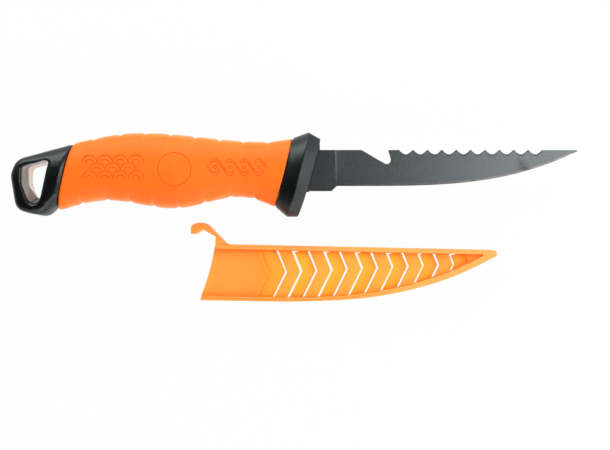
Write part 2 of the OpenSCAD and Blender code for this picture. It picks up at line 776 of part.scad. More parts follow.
// The hook arches over the guard's ridge when the sheath is seated
module sheath_hook() {
    ridge = [ridge_top * tan(guard_rake) - ridge_at - sheath_seat, ridge_top];
    crown = ridge + [0, hook_clear];
    toe = [ridge.x - hook_catch, ridge_top - hook_bite];
    foot_x = mouth_x(rail_top);
    base = rail_top + hook_gap;
    back = [crown.x - hook_crest, crown.y + hook_wall - hook_r];
    heel = [foot_x + hook_foot, base];
    lean = touch(heel, back, hook_r, -1);
    out = atan2(lean.y - heel.y, lean.x - heel.x);
    run = foot_fillet * tan(90 - out / 2);
    color("Orange") sheath_frame(0, sheath_t) difference() {
        union() {
            hull() {
                translate(back) circle(hook_r);
                polygon([heel, [foot_x, base], [foot_x, throat_h]]);
            }
            difference() {
                polygon([heel - [run, 0], heel + [run, 0], heel + run * [cos(out), sin(out)],
                    heel + run * [cos(out) - 1, sin(out)]]);
                translate(heel + [run, foot_fillet]) circle(foot_fillet);
            }
        }
        polygon([[toe.x - 3 * hook_r, toe.y], toe, crown, [foot_x, throat_h], [foot_x, base],
            [heel.x + hook_r, base], [heel.x + hook_r, base - hook_r], [toe.x - 3 * hook_r, base - hook_r]]);
        translate([toe.x - nose_len - 2 * hook_r, 0]) square([2 * hook_r, 4 * hook_r]);
    }
}

blade();
guard();
handle_core();
tang_pins();
grip();
butt_cap();
cap_pin();
sheath_rim();
sheath_mouth_panel();
sheath_front_slats();
sheath_back_slats();
sheath_hook();
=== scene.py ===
"""Rigging knife with an orange rubber grip, lying above its slatted sheath on a white table."""

from math import cos, pi, radians, sin, sqrt, tan

import bpy
import numpy as np
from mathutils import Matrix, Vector


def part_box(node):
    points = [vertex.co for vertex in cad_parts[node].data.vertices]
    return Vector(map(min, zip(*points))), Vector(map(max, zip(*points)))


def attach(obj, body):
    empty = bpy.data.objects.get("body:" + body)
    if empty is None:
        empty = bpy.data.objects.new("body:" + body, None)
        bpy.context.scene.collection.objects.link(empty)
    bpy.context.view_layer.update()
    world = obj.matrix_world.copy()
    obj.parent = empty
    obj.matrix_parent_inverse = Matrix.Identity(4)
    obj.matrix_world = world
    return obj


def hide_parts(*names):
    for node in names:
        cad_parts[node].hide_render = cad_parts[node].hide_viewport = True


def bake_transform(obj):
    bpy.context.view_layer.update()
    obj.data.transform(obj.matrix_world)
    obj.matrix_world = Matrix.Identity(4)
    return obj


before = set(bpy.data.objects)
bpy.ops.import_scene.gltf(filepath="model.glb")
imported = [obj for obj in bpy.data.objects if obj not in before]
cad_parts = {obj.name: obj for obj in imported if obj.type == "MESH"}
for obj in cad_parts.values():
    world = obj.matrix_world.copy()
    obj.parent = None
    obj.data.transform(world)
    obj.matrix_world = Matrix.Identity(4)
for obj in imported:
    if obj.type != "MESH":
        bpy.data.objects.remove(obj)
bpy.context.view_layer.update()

MM = 0.001

# Light levels: the room overhead, at the horizon and to the left, and the lamps in watts
ROOM_TOP, ROOM_LOW, ROOM_LEFT = 0.0, 1.5, 0.15
TOP_POWER, RIGHT_POWER, FRONT_POWER = 5.3, 2.6, 1.6

# The knife's datum: the spine line at the guard's front face, in the blade's middle plane
blade_low, blade_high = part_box("blade")
BLADE_LEN = 110.8
DATUM = Vector((blade_high.x - BLADE_LEN * MM, blade_high.y, (blade_low.z + blade_high.z) / 2))

# Sizes of the handle in millimetres, along the spine line and up from it
GRIP_REAR, GRIP_FRONT = -103.0, -11.75
GRIP_LEN = GRIP_FRONT - GRIP_REAR
BUTT_RAKE, GUARD_RAKE = 13, 14.3
END_BOW, SIDE = 1.0, 12.5
BACK = [(0, 2.9), (0.3, 7.2), (0.87, 3.4), (1, 4.8)]
BELLY = [(0, 25.4), (0.215, 21.3), (0.53, 24.7), (0.82, 19.8), (1, 24)]
HALF_WIDTH = [(0, 9.5), (0.48, 12.5), (0.87, 10.25), (1, 10.75)]
GRIP_POWER, GUARD_POWER, NOSE_POWER = 2.4, 2.5, 6
NOTCHES, FIRST_NOTCH, NOTCH_PITCH = 8, 8.5, 10.45
NOTCH_DEPTH, NOTCH_W, NOTCH_FLOOR, NOTCH_REACH = 0.6, 3.4, 0.5, 0.8
RUBBER_WALL = 2.6
REAR_SLOPE, FRONT_SLOPE = 1.6, 1.5

# Rounding of the rubber's rear end on the back, belly and sides, as reach and inset, and of its front end
BACK_ROUND, BELLY_ROUND, SIDE_ROUND, FRONT_ROUND = (1.8, 0.9), (0.5, 0.4), (0.9, 0.9), (0.6, 0.6)

# Grooves engraved in the grip: the badge's centre and radius, the scale rows and the twist
LINE_W, LINE_DEPTH = 0.36, 0.3
BADGE_X, BADGE_Y, BADGE_R = -58.9, -8.85, 6.85
SCALES_X, SCALES_Y, SCALE_R = -84.5, -6.4, 3.25
TWIST_X, TWIST_Y, TWIST_LEN, TWIST_H = -45.2, -7.9, 24.0, 2.9

# The painted rim light of the rubber, by how steeply it faces up or down, and the painted highlight streaks
# at the belly's notches
RIM_LIGHT, RIM_FROM, STREAK_LIGHT, STREAK_HALF, STREAK_REACH = 0.75, 0.75, 0.6, 1.3, 1.8

# The guard's stations, and how far its rings rise above the spine line, drop below it and reach sideways
GUARD_LEN, RIDGE_AT, SEAM_TO, SEAM_IN, SEAM_LAP = 11.2, 5.45, 11.72, 0.6, 0.05
GUARD_REAR, GUARD_RIDGE, GUARD_FACE = (5.05, 24.25, 11), (7.45, 28.3, 12.5), (4.6, 28.3, 10.25)
FACE_AT, FACE_TILT, FACE_MIDDLE, PAST_RIDGE = 0.15, 0.036, 11.5, 0.15
RIDGE_ROUND, FACE_ROUND, REAR_ROUND = 0.45, 0.6, 0.2

# An outline around the guard's window, whose edges stay sharp, and the core's nose inside it
WINDOW_HALF, WINDOW_REACH, WINDOW_MIDDLE, WINDOW_FIT = 6, 13.6, 9, 0.1
RICASSO_H, NOSE_TOP, NOSE_LOW, NOSE_HALF = 17.4, 3.3, 0.4, 2.8

# The cap: its opening, the lift of its heel, and small moves as a place, a reach and a way
VOXEL, COLLAR = 0.25, 3
EYE_MIDDLE, EYE_REACH, EYE_FROM, EYE_FADE = (-117.3, -13.2), (8, 11), 3, 4
HEEL_FROM, HEEL_BELOW, HEEL_FADE = -119, -19, 6
HEEL_LIFT, HEEL_HALF, HEEL_MOST = 1.1, 6.4, 1.9
CAP_TOUCHES = [((-126.5, -6.5), 4, (-0.42, 0.25)), ((-108.8, -25.6), 2.6, (-0.6, 0.4)),
               ((-111, -27.4), 2.8, (-0.2, 0.8))]
OPENING_TOUCHES = [((-122.7, -6.2), 3, (0.35, -0.6)), ((-117.1, -5.1), 3.2, (0, -0.7)),
                   ((-112, -3.7), 3, (0.5, -0.45))]

# The blade: its outline, the slope of its plunge, the thinning of its point, and its scallops
RICASSO_LEN, BLADE_H, POINT_H, BEVEL_H = 8.2, 15.2, 0.4, 0.78
EDGE_CURVE_AT, EDGE_POWER = 20, 3.05
PLUNGE_SHIFT, PLUNGE_SLOPE, PLUNGE_STEP, PLUNGE_TOP = 0.05, 0.45, 0.4, 1.15
POINT_THIN, THIN_RATE, PLAIN_POINT, BLADE_ROUND = 0.08, 0.1, 5, 0.07
SCALLOPS_FROM, SCALLOPS, SCALLOP_PITCH = 35.2, 10, 6.12
SCALLOP_ZONE, SCALLOP_GROW, SCALLOP_POWER, SCALLOP_BACK, CREST_FLAT = 3.6, 1.06, 1.5, 0.42, 0.15

# The sheath's datum, where its mouth meets the blade's spine line, and its turn on the table
SHEATH_DATUM = DATUM + Vector((-44.2, -42.6, -12.5)) * MM
SHEATH_TURN = radians(1.2)

# Sizes of the sheath in millimetres, along its spine line and down from it
SHEATH_T, SHEATH_IN, SPINE_GAP = 8, 115.9, 0.6
RAIL_IN, RAIL_CURVE_AT, RAIL_POWER = 19.4, 25, 2.55
PANEL_LEN, FIRST_GAP, SLAT_PITCH = 23.85, 31.3, 6.58
SLAT_LEAN, UPPER_LEAN = 25.5, 23.1
FILLET_FROM, FILLET_TO, FILLET_W, BACK_LOW, BACK_HIGH = 17.85, 103, 0.4, 1.2, 2.6
APEX_DROP, APEX_RISE = 11.1, 3.9
GROOVE_FROM, GROOVE_TO, GROOVE_IN, GROOVE_HALF, GROOVE_DEEP = -6.5, 78, 1.25, 0.26, 0.5
GROOVE_END, GROOVE_POWER = 0.25, 0.7
RAIL_ROUND, SLAT_ROUND, HOOK_ROUND = 0.45, 0.2, 0.6
SLIMMING, MOUTH_BOW, MOUTH_REACH = 0.55, 0.6, 8
SLOPE_DROP, SLOPE_RUN = 1.05, 2.6

# Trims along the lower rail's outer edge, as a depth, a place and a reach, and how its two sides are told
RAIL_TRIMS = ((0.35, 46, 16), (-0.25, 102, 12))
INNER_WITHIN, OUTER_PAST = 0.15, 1.2

# The steps of the chevrons' lower and upper arms along the sheath, and where the arms' moves fade
ARM_STEPS = {"mouth_plate": (0.35, 0.35), "front_chevrons": (0, 0), "back_chevrons": (0, -0.32)}
ARMS_FROM, ARMS_FADE, ELBOW = 6, 6, 3

# Painted shade beside the rails and behind the panel's edge, and painted light past the gaps and along the
# panel's and mouth's edges, as a strength and a reach
UPPER_SHADE, LOWER_SHADE, PANEL_SHADE = (0.6, 0.9), (0.4, 0.6), (0.5, 1.6)
PANEL_SEEP, MOUTH_SEEP = (0.6, 0.25), (0.25, 0.5)
BACK_SHADE, BACK_SEEP, SEEP_RATE = 1.5, 0.35, 3

# The camera, from the knife's datum, and its focal length and half width in pixels of the picture
CAMERA_AT = Vector((-4.97, -31.79, 380)) * MM
SENSOR, FOCAL_PX, HALF_FRAME_PX = 36, 894.1, 305


# Modelling helpers

def solo(obj):
    """Selects one object alone and makes it the active one."""
    bpy.ops.object.select_all(action="DESELECT")
    obj.select_set(True)
    bpy.context.view_layer.objects.active = obj
    return obj


def open_edit(obj, kind, chosen):
    """Opens edit mode with only the chosen vertices, edges or faces selected."""
    solo(obj)
    mesh = obj.data
    parts = {"VERT": mesh.vertices, "EDGE": mesh.edges, "FACE": mesh.polygons}
    for part in parts.values():
        part.foreach_set("select", np.zeros(len(part), bool))
    parts[kind].foreach_set("select", np.asarray(chosen, bool))
    bpy.context.tool_settings.mesh_select_mode = [kind == k for k in ("VERT", "EDGE", "FACE")]
    bpy.ops.object.mode_set(mode="EDIT")


def close_edit():
    bpy.ops.object.mode_set(mode="OBJECT")


def tidy_mesh(obj):
    """Merges doubles and turns the faces outwards."""
    open_edit(obj, "VERT", [True] * len(obj.data.vertices))
    bpy.ops.mesh.remove_doubles(threshold=1e-6)
    bpy.ops.mesh.normals_make_consistent(inside=False)
    close_edit()


def modify(obj, kind, **settings):
    """Adds a modifier, sets it and applies it."""
    solo(obj)
    bpy.ops.object.modifier_add(type=kind)
    modifier = obj.modifiers[-1]
    for key, value in settings.items():
        setattr(modifier, key, value)
    bpy.ops.object.modifier_apply(modifier=modifier.name)


def smooth(obj, angle=30):
    solo(obj)
    bpy.ops.object.shade_smooth_by_angle(angle=radians(angle))


def points_of(obj):
    flat = np.zeros(len(obj.data.vertices) * 3)
    obj.data.vertices.foreach_get("co", flat)
    return flat.reshape(-1, 3)


def move_points(obj, points):
    obj.data.vertices.foreach_set("co", np.asarray(points).ravel())
    obj.data.update()


def paint(obj, name, values):
    """Keeps one value per vertex for the finishes to read."""
    obj.data.attributes.new(name, "FLOAT", "POINT").data.foreach_set("value", np.asarray(values, float))


def fading(strength, reach, distance):
    """A strength that fades out with the distance past an edge."""
    return strength * np.exp(-np.clip(distance, 0, None) / reach)


def roll_sheet(name, rings, close_ends=False):
    """A grid sheet rolled into a tube, with one row of the sheet laid on each ring."""
    across, around = len(rings), len(rings[0])
    rows = across if close_ends else across - 1
    bpy.ops.object.select_all(action="DESELECT")
    bpy.ops.mesh.primitive_grid_add(x_subdivisions=rows, y_subdivisions=around, size=2)
    obj = bpy.context.object
    obj.name = obj.data.name = name
    rings = np.asarray(rings)
    flat = points_of(obj)
    row = np.rint((flat[:, 0] + 1) / 2 * rows).astype(int) % (across if close_ends else across + 1)
    step = np.rint((flat[:, 1] + 1) / 2 * around).astype(int) % around
    move_points(obj, rings[row, step])
    tidy_mesh(obj)
    return obj


def copy_node(node, name, flat=0.2):
    """A clean copy of a CAD node: doubles merged and faces dissolved that are flat within an angle."""
    obj = bpy.data.objects.new(name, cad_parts[node].data.copy())
    obj.data.name = name
    obj.data.materials.clear()
    bpy.context.scene.collection.objects.link(obj)
    solo(obj)
    bpy.ops.mesh.customdata_custom_splitnormals_clear()
    tidy_mesh(obj)
    open_edit(obj, "FACE", [True] * len(obj.data.polygons))
    bpy.ops.mesh.dissolve_limited(angle_limit=radians(flat))
    close_edit()
    return obj


def edges_of(obj):
    """The numbers of the two end vertices of every edge."""
    return np.array([e.vertices for e in obj.data.edges])


def faces_of(obj):
    """The centre and the normal of every face."""
    return [np.array([getattr(f, key) for f in obj.data.polygons]) for key in ("center", "normal")]


def normals_of(obj):
    return np.array([v.normal for v in obj.data.vertices])


def in_knife(points):
    """Places in millimetres from the knife's datum."""
    return (points - np.asarray(DATUM)) / MM


def round_edges(obj, width, segments, where=True):
    """Bevels the sharp edges, all of them or those that are marked."""
    open_edit(obj, "EDGE", [False] * len(obj.data.edges))
    bpy.ops.mesh.edges_select_sharp(sharpness=radians(30))
    close_edit()
    open_edit(obj, "EDGE", np.array([e.select for e in obj.data.edges]) & where)
    bpy.ops.mesh.bevel(offset=width * MM, segments=segments, profile=0.5, clamp_overlap=True)
    close_edit()
    smooth(obj)


def seat(obj, body, slot, *nodes):
    """Lets a finished piece ride on its body and stand for its CAD nodes."""
    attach(obj, body)
    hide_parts(*nodes)


# Sections of the handle

def curve(keys, u):
    """Smooth curve through keys, level at each crest and hollow."""
    last = len(keys) - 1
    secants = [(keys[k + 1][1] - keys[k][1]) / (keys[k + 1][0] - keys[k][0]) for k in range(last)]

    def slope(i):
        if i == 0:
            return REAR_SLOPE * secants[0]
        if i == last:
            return FRONT_SLOPE * secants[-1]
        a, b = secants[i - 1], secants[i]
        return 0 if a * b <= 0 else 2 / (1 / a + 1 / b)

    i = next((k for k in range(last) if u <= keys[k + 1][0]), last - 1)
    w = keys[i + 1][0] - keys[i][0]
    t = (u - keys[i][0]) / w
    return (keys[i][1] * (2 * t ** 3 - 3 * t ** 2 + 1) + slope(i) * w * (t ** 3 - 2 * t ** 2 + t)
            + keys[i + 1][1] * (3 * t ** 2 - 2 * t ** 3) + slope(i + 1) * w * (t ** 3 - t ** 2))


def share(station):
    return min(1, max(0, (station - GRIP_REAR) / GRIP_LEN))


def rake(station):
    return tan(radians(BUTT_RAKE + (GUARD_RAKE - BUTT_RAKE) * share(station)))


def bow(station, z):
    """How far a raked plane is bowed forwards at a height on the handle's side."""
    return END_BOW * share(station) * (z / SIDE) ** 2


def flip(value, power):
    return np.sign(value) * abs(value) ** (2 / power)


def section(station, top, drop, half, power, sides, cut=None):
    """One rounded section on a raked plane. A cut draws the back and belly in."""
    ring = []
    for i in range(sides):
        c, s = flip(cos(2 * pi * i / sides), power), flip(sin(2 * pi * i / sides), power)
        y = (top - drop) / 2 + ((top + drop) / 2 - (cut(abs(s)) if cut else 0)) * c
        x = station + y * rake(station) + bow(station, half * s)
        ring.append(DATUM + Vector((x, y, half * s)) * MM)
    return ring


# Grip

def notch_cut(station):
    """Depth of the raked notches at a station, by the share of the way round the side."""
    off = min(abs(station - GRIP_REAR - FIRST_NOTCH - k * NOTCH_PITCH) for k in range(NOTCHES))
    past = max(0, off - NOTCH_FLOOR / 2)

    def cut(around):
        left = max(0, 1 - (around / NOTCH_REACH) ** 2)
        wall = (NOTCH_W - NOTCH_FLOOR) / 2 * left
        return NOTCH_DEPTH * left * (1 - past / wall) if past < wall else 0
    return cut


def grip_stations():
    walls = [-1.15, -1, -0.8, -0.6, -0.4, -0.147, 0.147, 0.4, 0.6, 0.8, 1, 1.15]
    marks = [GRIP_REAR + FIRST_NOTCH + k * NOTCH_PITCH + w * NOTCH_W / 2
             for k in range(NOTCHES) for w in walls]
    ends = [GRIP_REAR + d for d in (0, 0.06, 0.2, 0.4, 0.7, 1.1, 1.6, 2.2)]
    ends += [GRIP_FRONT - d for d in (0, 0.05, 0.15, 0.35, 0.6, 1)]
    marks = sorted(marks + ends)
    full = []
    for a, b in zip(marks, marks[1:]):
        steps = max(1, round((b - a) / 0.65))
        full += [a + (b - a) * k / steps for k in range(steps)]
    return full + [marks[-1]]


def end_round(station, reach, inset):
    """How far the rubber is drawn in where its ends are rounded, by the reach and inset at the rear."""
    drawn = 0
    for past, r, d in ((station - GRIP_REAR, reach, inset), (GRIP_FRONT - station, *FRONT_ROUND)):
        if past < r:
            drawn = d * (1 - sqrt(1 - (1 - past / r) ** 2))
    return drawn


def grip_rings(sides):
    rings = []
    for station in grip_stations():
        u = share(station)
        top = curve(BACK, u) - end_round(station, *BACK_ROUND)
        drop = curve(BELLY, u) - end_round(station, *BELLY_ROUND)
        half = curve(HALF_WIDTH, u) - end_round(station, *SIDE_ROUND)
        rings.append(section(station, top, drop, half, GRIP_POWER, sides, notch_cut(station)))
    return rings


def arc_line(cx, cy, r, start, end, steps=24):
    return [(cx + r * cos(radians(start + (end - start) * k / steps)),
             cy + r * sin(radians(start + (end - start) * k / steps))) for k in range(steps + 1)]


def scale_rows():
    """Three staggered rows of overlapping scale arcs, each with a smaller arc inside."""
    lines = []
    for row, count in enumerate((4, 3, 4)):
        for k in range(count):
            cx = SCALES_X + (k - (count - 1) / 2) * 2 * SCALE_R
            cy = SCALES_Y - row * SCALE_R
            lines.append(arc_line(cx, cy, SCALE_R, 12, 168))
            lines.append(arc_line(cx, cy, SCALE_R * 0.5, 15, 165, 16))
    return lines


def twist_band():
    """A two-strand twist that goes over and under itself, with a dot in each eye."""
    waves, steps, half_strand, half_gap, dot = 2, 120, 0.55, 0.18, 0.7
    lines = []
    for phase in (1, -1):
        for side in (half_strand, -half_strand):
            line = []
            for k in range(steps + 1):
                t = k / steps * 2 * waves
                under = (phase > 0) == (int(t + 0.5) % 2 == 0)
                if under and abs(t - round(t)) < half_gap:
                    lines.append(line)
                    line = []
                    continue
                line.append((TWIST_X + TWIST_LEN * k / steps, TWIST_Y + phase * TWIST_H * sin(pi * t) + side))
            lines.append(line)
    lines = [line for line in lines if len(line) > 1]
    for k in range(2 * waves):
        lines.append(arc_line(TWIST_X + TWIST_LEN * (k + 0.5) / (2 * waves), TWIST_Y, dot, 0, 360, 20))
    return lines


def line_distance(points, lines):
    """Distance in millimetres from each point, seen from the side, to the nearest line."""
    best = np.full(len(points), 1e9)
    for line in lines:
        path = np.asarray(line)
        near = ((points[:, 0] > path[:, 0].min() - 2) & (points[:, 0] < path[:, 0].max() + 2)
                & (points[:, 1] > path[:, 1].min() - 2) & (points[:, 1] < path[:, 1].max() + 2))
        at = points[near]
        for a, b in zip(path, path[1:]):
            d = b - a
            t = np.clip(((at - a) @ d) / max(d @ d, 1e-9), 0, 1)
            best[near] = np.minimum(best[near], np.linalg.norm(at - a - t[:, None] * d, axis=1))
    return best


def engrave(obj, lines, width, depth):
    """Moulded grooves along lines on both sides of the grip."""
    centres, normals = faces_of(obj)
    centres = in_knife(centres)
    outer = centres[:, 2] * normals[:, 2] > 0.3 * abs(centres[:, 2])
    open_edit(obj, "FACE", outer & (line_distance(centres[:, :2], lines) < width + 0.45))
    bpy.ops.mesh.subdivide(number_cuts=3, smoothness=0)
    close_edit()
    points = points_of(obj)
    local = in_knife(points)
    normals = normals_of(obj)
    reach = np.clip(1 - line_distance(local[:, :2], lines) / width, 0, 1)
    reach = reach * reach * (3 - 2 * reach)
    reach[local[:, 2] * normals[:, 2] < 0.3 * abs(local[:, 2])] = 0
    move_points(obj, points - normals * (reach * depth * MM)[:, None])
    # The reach of each line is also kept for the painted shade in the grooves.
    paint(obj, "engraved", reach)


def paint_rim_light(obj):
    """Paints a pale rim light along the back and belly, with a highlight streak up each notch of the belly.
    """
    local = in_knife(points_of(obj))
    rise = abs(normals_of(obj)[:, 1])
    station = local[:, 0] - local[:, 1] * rake(GRIP_REAR + GRIP_LEN / 2)
    steps = np.linspace(0, 1, 60)
    low = np.interp(station, GRIP_REAR + GRIP_LEN * steps, [curve(BELLY, u) for u in steps])
    notches = GRIP_REAR + FIRST_NOTCH + np.arange(NOTCHES) * NOTCH_PITCH
    off = abs(station[:, None] - notches).min(1)
    streak = np.clip(1 - off / STREAK_HALF, 0, 1) * fading(STREAK_LIGHT, STREAK_REACH, local[:, 1] + low)
    rim = RIM_LIGHT * np.clip((rise - RIM_FROM) / (1 - RIM_FROM), 0, 1) ** 2
    paint(obj, "pale", np.maximum(rim, streak))


def make_grip():
    obj = roll_sheet("grip_rubber", grip_rings(96))
    modify(obj, "SOLIDIFY", thickness=RUBBER_WALL * MM, offset=-1, use_even_offset=False)
    tidy_mesh(obj)
    badge = arc_line(BADGE_X, BADGE_Y, BADGE_R, 0, 360, 72)
    engrave(obj, [badge] + scale_rows() + twist_band(), LINE_W, LINE_DEPTH)
    paint_rim_light(obj)
    smooth(obj, 40)
    seat(obj, "knife", "grip_orange", "grip")
    return obj


# Guard, cap and blade

def nose_section(station, grow, sides):
    return section(station, NOSE_TOP + grow, RICASSO_H + NOSE_LOW + grow, NOSE_HALF + grow, NOSE_POWER, sides)


def tilt(ring, amount):
    """Leans a ring further back, about the middle of the guard's front face."""
    return [p + Vector((amount * (p.y - DATUM.y + FACE_MIDDLE * MM), 0, 0)) for p in ring]


def make_guard():
    sides = 120
    rear = section(-GUARD_LEN, *GUARD_REAR, GUARD_POWER, sides)
    ridge = section(-RIDGE_AT, *GUARD_RIDGE, GUARD_POWER, sides)
    face = tilt(section(-FACE_AT, *GUARD_FACE, GUARD_POWER, sides), FACE_TILT)
    window = tilt(nose_section(-FACE_AT, WINDOW_FIT, sides), FACE_TILT)
    inset = [size - SEAM_IN for size in GUARD_REAR]
    seam = [section(-at, *inset, GUARD_POWER, sides) for at in (SEAM_TO, GUARD_LEN - SEAM_LAP)]
    rings = [nose_section(-SEAM_TO, WINDOW_FIT, sides), *seam, rear, ridge, face, window]
    obj = roll_sheet("guard_block", rings, close_ends=True)
    for station, width, lean in ((-RIDGE_AT, RIDGE_ROUND, 0), (-FACE_AT, FACE_ROUND, FACE_TILT),
                                 (-GUARD_LEN, REAR_ROUND, 0)):
        local = in_knife(points_of(obj))
        plane = station + local[:, 1] * rake(station) + bow(station, local[:, 2])
        on = abs(local[:, 0] - plane - lean * (local[:, 1] + FACE_MIDDLE)) < 0.02
        side = abs(local[:, 2]) / WINDOW_HALF
        high = abs(local[:, 1] + WINDOW_MIDDLE) / WINDOW_REACH
        on &= side ** GUARD_POWER + high ** GUARD_POWER > 1
        open_edit(obj, "EDGE", on[edges_of(obj)].all(1))
        bpy.ops.mesh.bevel(offset=width * MM, segments=4, profile=0.5)
        close_edit()
    smooth(obj, 40)
    centres = in_knife(faces_of(obj)[0])
    station = centres[:, 0] - centres[:, 1] * rake(0) - bow(0, centres[:, 2])
    seat(obj, "knife", "guard_black", "guard")
    return obj, station > PAST_RIDGE - RIDGE_AT


def make_cap():
    obj = copy_node("butt_cap", "butt_cap_shell")
    modify(obj, "REMESH", mode="VOXEL", voxel_size=VOXEL * MM)
    modify(obj, "SMOOTH", factor=0.5, iterations=20)
    local = in_knife(points_of(obj))
    rear = local[:, 0] - local[:, 1] * rake(GRIP_REAR) < GRIP_REAR - COLLAR
    obj.vertex_groups.new(name="rear").add(np.flatnonzero(rear).tolist(), 1, "REPLACE")
    modify(obj, "SMOOTH", factor=0.5, iterations=30, vertex_group="rear")
    points = points_of(obj)
    local = in_knife(points)[:, :2]
    off_middle = abs(points[:, 2] - DATUM.z) / MM
    past, below = local[:, 0] - HEEL_FROM, HEEL_BELOW - local[:, 1]
    heel = np.clip(past / HEEL_FADE, 0, 1) * np.clip(below / HEEL_FADE, 0, 1)
    points[:, 1] += heel * np.minimum(HEEL_LIFT * (off_middle / HEEL_HALF) ** 2, HEEL_MOST) * MM
    outward = np.clip((off_middle - EYE_FROM) / EYE_FADE, 0, 1)
    for touches, weight in ((CAP_TOUCHES, np.ones(len(points))), (OPENING_TOUCHES, outward)):
        for place, reach, move in touches:
            near = weight * np.exp(-(((local - place) / reach) ** 2).sum(1))
            points[:, :2] += near[:, None] * np.array(move) * MM
    move_points(obj, points)
    smooth(obj, 60)
    centres, normals = faces_of(obj)
    out = in_knife(centres)[:, :2] - EYE_MIDDLE
    inwards = (out * normals[:, :2]).sum(1) < 0
    walls = inwards & (abs(normals[:, 2]) < 0.3) & (abs(out) < EYE_REACH).all(1)
    seat(obj, "knife", "guard_black", "butt_cap")
    return obj, walls


def slope_grind(obj):
    """Slopes the step between the ricasso and the grind, and thins the point evenly."""
    points = points_of(obj)
    local = in_knife(points)
    step = abs(local[:, 0] - RICASSO_LEN) < 0.03
    upper = abs(local[:, 2]) > PLUNGE_TOP
    shift = PLUNGE_SHIFT + PLUNGE_SLOPE * np.clip(-local[:, 1] / BLADE_H, 0, 1) - PLUNGE_STEP * upper
    points[:, 0] += np.where(step, shift, 0) * MM
    thin = np.clip(POINT_THIN + THIN_RATE * (BLADE_LEN - local[:, 0]), 0, 1)
    points[:, 2] = DATUM.z + (points[:, 2] - DATUM.z) * thin
    move_points(obj, points)


def round_scallops(obj):
    """Rounds the crests and hollows of the scallops on the spine."""
    points = points_of(obj)
    local = in_knife(points)
    turn = (local[:, 0] - SCALLOPS_FROM) / SCALLOP_PITCH
    on = (turn > -0.01) & (turn < SCALLOPS + 0.01) & (local[:, 1] > -SCALLOP_ZONE)
    wave = np.maximum(abs(np.sin(pi * turn)), 1e-6)
    soft = np.maximum(0, (1 + CREST_FLAT) * wave - CREST_FLAT)
    points[:, 1] += np.where(on, local[:, 1] * (SCALLOP_GROW * soft / wave ** SCALLOP_POWER - 1), 0) * MM
    points[:, 0] -= np.where(on, SCALLOP_BACK, 0) * MM
    move_points(obj, points)


def make_blade():
    obj = copy_node("blade", "blade_ground", flat=0.01)
    slope_grind(obj)
    round_scallops(obj)
    middles = in_knife(points_of(obj)[edges_of(obj)].mean(1))
    round_edges(obj, BLADE_ROUND, 2, middles[:, 0] < BLADE_LEN - PLAIN_POINT)
    modify(obj, "WEIGHTED_NORMAL", keep_sharp=True, weight=80)
    centres, normals = faces_of(obj)
    centres = in_knife(centres)
    past = np.clip((centres[:, 0] - EDGE_CURVE_AT) / (BLADE_LEN - EDGE_CURVE_AT), 0, 1)
    edge = POINT_H + (BLADE_H - POINT_H) * (1 - past ** EDGE_POWER)
    bevel = (centres[:, 1] + edge < BEVEL_H) & (centres[:, 0] > RICASSO_LEN) & (past < 0.97)
    turn = (centres[:, 0] - SCALLOPS_FROM) / SCALLOP_PITCH
    # Painted shade: the scallops' upward walls take a darker coating.
    shaded_crescent = (normals[:, 1] > 0.25) & (turn > -0.2) & (turn < SCALLOPS)
    seat(obj, "knife", "blade_steel", "blade")
    return obj, np.where(bevel, 1, np.where(shaded_crescent, 2, 0))


# Sheath

def sheath_point(x, y, z):
    c, s = cos(SHEATH_TURN), sin(SHEATH_TURN)
    return SHEATH_DATUM + Vector((x * c + y * s, y * c - x * s, z)) * MM


def in_sheath(points):
    """Places along and across the sheath, in millimetres from its mouth and spine line."""
    local = (points - np.asarray(SHEATH_DATUM)) / MM
    c, s = cos(SHEATH_TURN), sin(SHEATH_TURN)
    return local[:, 0] * c - local[:, 1] * s, local[:, 1] * c + local[:, 0] * s


def heights(points):
    return (points[:, 2] - SHEATH_DATUM.z) / MM


def lay(obj, x, y, z):
    """Puts a piece's points at places along, across and above the sheath."""
    move_points(obj, [sheath_point(*place) for place in zip(x, y, z)])


def rail_depth(x):
    """Depth of the lower rail's inner side below the spine line."""
    past = np.clip((x - RAIL_CURVE_AT) / (SHEATH_IN - RAIL_CURVE_AT), 0, None)
    return RAIL_IN * (1 - past ** RAIL_POWER)


def slimming(x):
    """How far the lower rail's inner side is set back, which ends before the tip."""
    return SLIMMING * np.clip((rail_depth(x) - 1) / 3, 0, 1)


def chevron_at(x, y):
    """Place along the sheath of the point of the chevron that passes through a place."""
    tip = x
    for _ in range(4):
        off = y - tip * tan(radians(APEX_RISE)) + APEX_DROP
        tip = x + abs(off) * np.where(off > 0, tan(radians(UPPER_LEAN)), tan(radians(SLAT_LEAN)))
    return tip


def slat_turn(tip):
    """Share of a pair of slats that a chevron's point lies past the start of its back slat."""
    return ((tip - FIRST_GAP - SLAT_PITCH) / (2 * SLAT_PITCH)) % 1


def set_arms(obj, lower, upper):
    """Leans the upper arms of the chevrons less than the lower ones, and steps both along the sheath."""
    points = points_of(obj)
    x, y = in_sheath(points)
    off = y - x * tan(radians(APEX_RISE)) + APEX_DROP
    lean = np.clip(off, 0, None) * (tan(radians(SLAT_LEAN)) - tan(radians(UPPER_LEAN)))
    step = lower + (upper - lower) * np.clip(off / ELBOW + 0.5, 0, 1)
    longer = np.where(y + rail_depth(x) < 0.3, slimming(x), 0)
    inside = np.clip((x - ARMS_FROM) / ARMS_FADE, 0, 1)
    move = (lean + step) * inside - longer * tan(radians(SLAT_LEAN))
    lay(obj, x + move, y - longer, heights(points))


